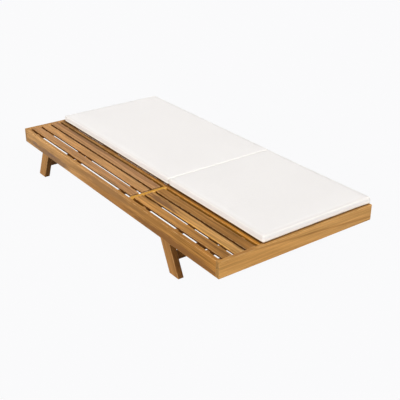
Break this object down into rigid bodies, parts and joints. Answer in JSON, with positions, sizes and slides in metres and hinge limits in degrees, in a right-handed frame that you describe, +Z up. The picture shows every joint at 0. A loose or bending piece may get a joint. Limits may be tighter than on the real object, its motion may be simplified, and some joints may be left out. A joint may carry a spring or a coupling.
{
  "type": "chaise lounger",
  "caption": "Low wooden slatted chaise lounger with splayed legs, a slatted side shelf, a two-part flat cushion and a hinged backrest on a prop frame.",
  "frame": {"origin": "middle of the bounding box on the floor, under the four legs' feet", "axes": "+Y along the bed towards the head end, where the backrest is hinged; +X across, towards the slatted side shelf; +Z up"},
  "size_m": [0.958, 2, 0.3103],
  "materials": {
    "oiled_wood": "oiled, satin",
    "dowel_wood": "plain",
    "cushion_cover": "matt woven cover over foam",
    "zinc_plated_steel": "zinc plated"
  },
  "bodies": {
    "frame": {"head_end_rail": "oiled_wood", "foot_end_rail": "oiled_wood", "shelf_side_rail": "oiled_wood", "bed_side_rail": "oiled_wood", "middle_beam": "oiled_wood", "shelf_cross_rail": "oiled_wood", "seat_hinge_rail": "oiled_wood", "shelf_head_slat_1": "oiled_wood", "shelf_head_slat_2": "oiled_wood", "shelf_head_slat_3": "oiled_wood", "shelf_foot_slat_1": "oiled_wood", "shelf_foot_slat_2": "oiled_wood", "shelf_foot_slat_3": "oiled_wood", "seat_slat_1": "oiled_wood", "seat_slat_2": "oiled_wood", "seat_slat_3": "oiled_wood", "seat_slat_4": "oiled_wood", "seat_slat_5": "oiled_wood", "seat_slat_6": "oiled_wood", "seat_slat_7": "oiled_wood", "seat_slat_8": "oiled_wood", "shelf_battens": "oiled_wood", "seat_battens": "oiled_wood", "head_leg_shelf_side": "oiled_wood", "head_leg_bed_side": "oiled_wood", "foot_leg_shelf_side": "oiled_wood", "foot_leg_bed_side": "oiled_wood", "head_leg_bar": "oiled_wood", "foot_leg_bar": "oiled_wood", "corner_blocks": "oiled_wood", "head_cleat": "oiled_wood", "notched_rack_beam_side": "oiled_wood", "notched_rack_rail_side": "oiled_wood", "seat_cushion": "cushion_cover", "leg_bolts": "zinc_plated_steel", "joint_dowels": "dowel_wood", "frame_screws": "zinc_plated_steel", "deck_screws": "zinc_plated_steel", "hinge_fixed_leaves": "zinc_plated_steel", "hinge_pins": "zinc_plated_steel", "hinge_fixed_screws": "zinc_plated_steel"},
    "backrest": {"backrest_stile_beam_side": "oiled_wood", "backrest_stile_rail_side": "oiled_wood", "backrest_foot_rail": "oiled_wood", "backrest_battens": "oiled_wood", "backrest_slat_1": "oiled_wood", "backrest_slat_2": "oiled_wood", "backrest_slat_3": "oiled_wood", "backrest_slat_4": "oiled_wood", "backrest_slat_5": "oiled_wood", "backrest_slat_6": "oiled_wood", "backrest_slat_7": "oiled_wood", "backrest_slat_8": "oiled_wood", "back_cushion": "cushion_cover", "hinge_moving_leaves": "zinc_plated_steel", "backrest_screws": "zinc_plated_steel", "prop_pivot_bolts": "zinc_plated_steel"},
    "prop": {"prop_arm_beam_side": "oiled_wood", "prop_arm_rail_side": "oiled_wood", "prop_bar": "oiled_wood"}
  },
  "joints": [
    {"name": "backrest_hinge", "type": "hinge", "parent": "frame", "child": "backrest", "pos_m": [0, 0.214, 0.2665], "axis": [1, 0, 0], "range_deg": [0, 60], "deforming": ["back_cushion"]},
    {"name": "prop_hinge", "type": "hinge", "parent": "backrest", "child": "prop", "pos_m": [0, 0.559, 0.245], "axis": [1, 0, 0], "range_deg": [-116.2, 0]}
  ],
  "couplings": [
    {"joint": "prop_hinge", "follows": "backrest_hinge", "ratio": -1.935}
  ]
}
